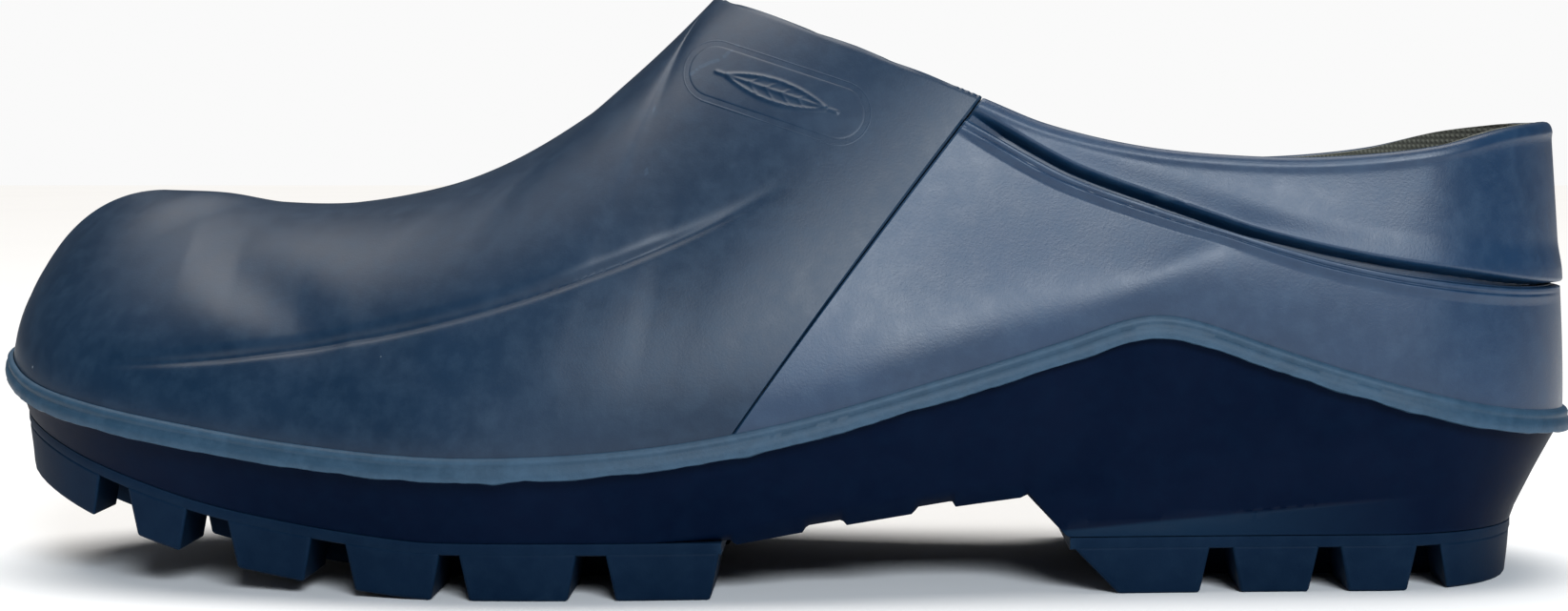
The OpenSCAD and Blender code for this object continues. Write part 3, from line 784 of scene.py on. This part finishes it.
def rubber(name, colour, pale, roughness, grain, grain_scale, specular=0.3, wear=0.5,
           lit_colour_below_ledge=None):
    """Moulded rubber: an eroded grain, cloudy patches, paler rubbed edges and a little dust, and if asked a
    paler colour below the heel's ledge, painted light against a base colour darkened as painted shade.
    """
    g = Graph(name)
    clouds = g.noise(38, 4, 0.6)
    mottle = g.noise(260, 4, 0.65)
    fine = g.noise(grain_scale, 2, 0.6)
    finer = g.noise(grain_scale * 2.7, 2, 0.5)
    colour_a = g.mix(g.levels(clouds, 0.35, 0.7), (*colour, 1), (*[c * 1.22 + 0.0015 for c in colour], 1))
    colour_b = g.mix(g.levels(mottle, 0.42, 0.72, 0, 0.22), colour_a, (*pale, 1))
    # painted light: a paler colour below the heel's ledge, while the darker base above it stands for painted
    # shade
    if lit_colour_below_ledge:
        colour_b = g.mix(lit_mask_under_ledge(g), colour_b, (*lit_colour_below_ledge, 1))
    sharp = g.node("ShaderNodeNewGeometry").outputs["Pointiness"]
    broken = g.levels(g.noise(600, 3, 0.6), 0.25, 0.65, 0.3, 1)
    edges = g.math("MULTIPLY", g.levels(sharp, 0.52, 0.60), broken)
    colour_c = g.mix(g.math("MULTIPLY", edges, wear), colour_b, (*pale, 1))
    dust = g.specks(0.011, 0.00028, 0.22)
    colour_d = g.mix(g.math("MULTIPLY", dust, 0.55), colour_c, (0.32, 0.38, 0.42, 1))
    height = g.math("ADD", g.math("MULTIPLY", fine, 0.65), g.math("MULTIPLY", finer, 0.35))
    normal = g.bump(mottle, 0.00006, 0.35)
    normal = g.bump(height, grain, 1.0, normal)
    patches = g.math("ADD", g.math("MULTIPLY", clouds, 0.5), g.math("MULTIPLY", mottle, 0.5))
    rough = g.levels(patches, 0.3, 0.7, roughness - 0.05, roughness + 0.07)
    g.set(Base_Color=colour_d, Roughness=rough, Normal=normal, Specular_IOR_Level=specular)
    return g.material


def knit(name, colour, pale, pitch):
    """A fine knitted cloth: crossed waves for the loops, with a little colour variation and painted shade in
    the hollows between the loops.
    """
    g = Graph(name)
    clouds = g.noise(60, 3)
    wave = {"Vector": g.place, "Distortion": 0.6, "Detail": 1.0, "Detail Scale": 4.0}
    across, along = {**wave, "Scale": 0.314 / pitch}, {**wave, "Scale": 0.314 / pitch * 0.8}
    wale = g.node("ShaderNodeTexWave", across, bands_direction="X").outputs["Fac"]
    course = g.node("ShaderNodeTexWave", along, bands_direction="Z").outputs["Fac"]
    loops = g.math("MULTIPLY", wale, course)
    base = g.mix(g.levels(clouds, 0.3, 0.7, 0.2, 0.8), (*colour, 1), (*pale, 1))
    # painted shade: the hollows between the knitted loops are darkened towards a deeper copy of the colour
    shade = g.mix(g.levels(loops, 0.0, 0.5, 0.65, 0.0), base, (*[c * 0.45 for c in colour], 1))
    g.set(Base_Color=shade, Roughness=0.9, Normal=g.bump(loops, 0.00025, 0.8), Specular_IOR_Level=0.2)
    g.shader.inputs["Sheen Weight"].default_value = 0.25
    return g.material


def foam_material(name):
    g = Graph(name)
    cells = g.node("ShaderNodeTexVoronoi", {"Vector": g.place, "Scale": 1400.0}).outputs["Distance"]
    colour = g.mix(g.levels(g.noise(90, 3), 0.3, 0.7), (0.03, 0.035, 0.04, 1), (0.055, 0.06, 0.065, 1))
    g.set(Base_Color=colour, Roughness=0.85, Normal=g.bump(cells, 0.0002, 0.7), Specular_IOR_Level=0.25)
    return g.material


def paint(pieces, material):
    for piece in pieces:
        piece.data.materials.clear()
        piece.data.materials.append(material)


# ---------------------------------------------------------------- stage, lights and camera
def make_floor():
    mesh = bpy.data.meshes.new("floor")
    half = 6.0
    corners = [(-half, -half, 0), (half, -half, 0), (half, half, 0), (-half, half, 0)]
    mesh.from_pydata(corners, [], [(0, 1, 2, 3)])
    floor = bpy.data.objects.new("floor", mesh)
    bpy.context.scene.collection.objects.link(floor)
    g = Graph("floor_paper")
    tone = g.mix(g.levels(g.noise(3, 2), 0.3, 0.7), (0.965, 0.965, 0.965, 1), (0.98, 0.98, 0.98, 1))
    g.set(Base_Color=tone, Roughness=0.9, Specular_IOR_Level=0.1)
    paint([floor], g.material)


def area_light(name, place, aim, size, power, colour):
    data = bpy.data.lights.new(name, "AREA")
    data.shape = "RECTANGLE"
    data.size, data.size_y = size
    data.energy = power
    data.color = colour
    light = bpy.data.objects.new(name, data)
    light.location = place
    direction = np.array(aim, float) - np.array(place, float)
    light.rotation_euler = Vector(direction).to_track_quat("-Z", "Y").to_euler()
    bpy.context.scene.collection.objects.link(light)


def make_lights():
    area_light("window", (0.42, -1.4, 0.85), (0.05, 0, 0.05), (0.7, 0.5), 23, (0.84, 0.92, 1.0))
    data = bpy.data.lights.new("overhead", "SUN")
    data.energy = 2.9
    data.angle = math.radians(55)
    data.color = (1.0, 0.975, 0.94)
    overhead = bpy.data.objects.new("overhead", data)
    overhead.rotation_euler = (math.radians(-10), math.radians(-3), 0)
    bpy.context.scene.collection.objects.link(overhead)
    world = bpy.data.worlds.new("studio")
    bpy.context.scene.world = world
    world.use_nodes = True
    tree = world.node_tree
    back = next(n for n in tree.nodes if n.type == "BACKGROUND")
    seen = tree.nodes.new("ShaderNodeLightPath").outputs["Is Camera Ray"]
    amount = tree.nodes.new("ShaderNodeMapRange")
    amount.inputs["To Min"].default_value = 0.10
    amount.inputs["To Max"].default_value = 0.955
    tree.links.new(seen, amount.inputs["Value"])
    tree.links.new(amount.outputs["Result"], back.inputs["Strength"])
    back.inputs["Color"].default_value = (1, 1, 1, 1)
    bpy.context.scene.view_settings.view_transform = "Standard"


def make_camera():
    data = bpy.data.cameras.new("camera")
    data.lens = 61.09
    data.sensor_width = 36
    data.shift_x = -0.035
    data.clip_start = 0.01
    camera = bpy.data.objects.new("camera", data)
    camera.location = (0.01588, -0.49337, 0.07606)
    camera.rotation_euler = (math.radians(90 - 3.255), 0, math.radians(0.617))
    bpy.context.scene.collection.objects.link(camera)
    bpy.context.scene.camera = camera


def main():
    vamp, quarter, band = make_vamp(), make_quarter(), make_collar_band()
    welt, badge = make_welt(), make_badge()
    linings = make_linings()
    midsole, treads = make_midsole(), make_treads()
    foam, cloth = make_insole()
    navy, pale = (0.002, 0.016, 0.040), (0.025, 0.06, 0.105)
    paint([vamp, badge], rubber("vamp_rubber", navy, pale, 0.40, 0.00002, 2600, 0.35))
    # painted light: the quarter and band get a lighter base and pale colour than the vamp's, for the brighter
    # light falling on them; their coarser grain is real
    paint([quarter, band], rubber("grained_rubber_painted_light", (0.002, 0.022, 0.060), (0.035, 0.08, 0.14), 0.40, 0.00004,
                                  2100, 0.5))
    paint([welt], rubber("welt_rubber", (0.008, 0.036, 0.07), (0.06, 0.13, 0.21), 0.55, 0.00007, 1500, 0.4))
    # painted shade: the midsole's base is near black for the shade under the welt's overhang, with a paler
    # colour below the heel's ledge as painted light
    paint([midsole], rubber("midsole_rubber", (0.0001, 0.0035, 0.015), (0.002, 0.011, 0.03), 0.5, 0.00002,
                            2200, 0.03, lit_colour_below_ledge=(0.005, 0.018, 0.04)))
    paint(treads, rubber("tread_rubber", (0.0007, 0.009, 0.026), (0.01, 0.028, 0.055), 0.6, 0.00004, 1800,
                         0.06))
    paint(linings, knit("lining_knit", (0.13, 0.13, 0.105), (0.19, 0.19, 0.15), 0.0008))
    paint([foam], foam_material("insole_foam"))
    paint([cloth], knit("insole_cloth", (0.09, 0.095, 0.09), (0.13, 0.135, 0.13), 0.0013))
    make_floor()
    make_lights()
    make_camera()


main()
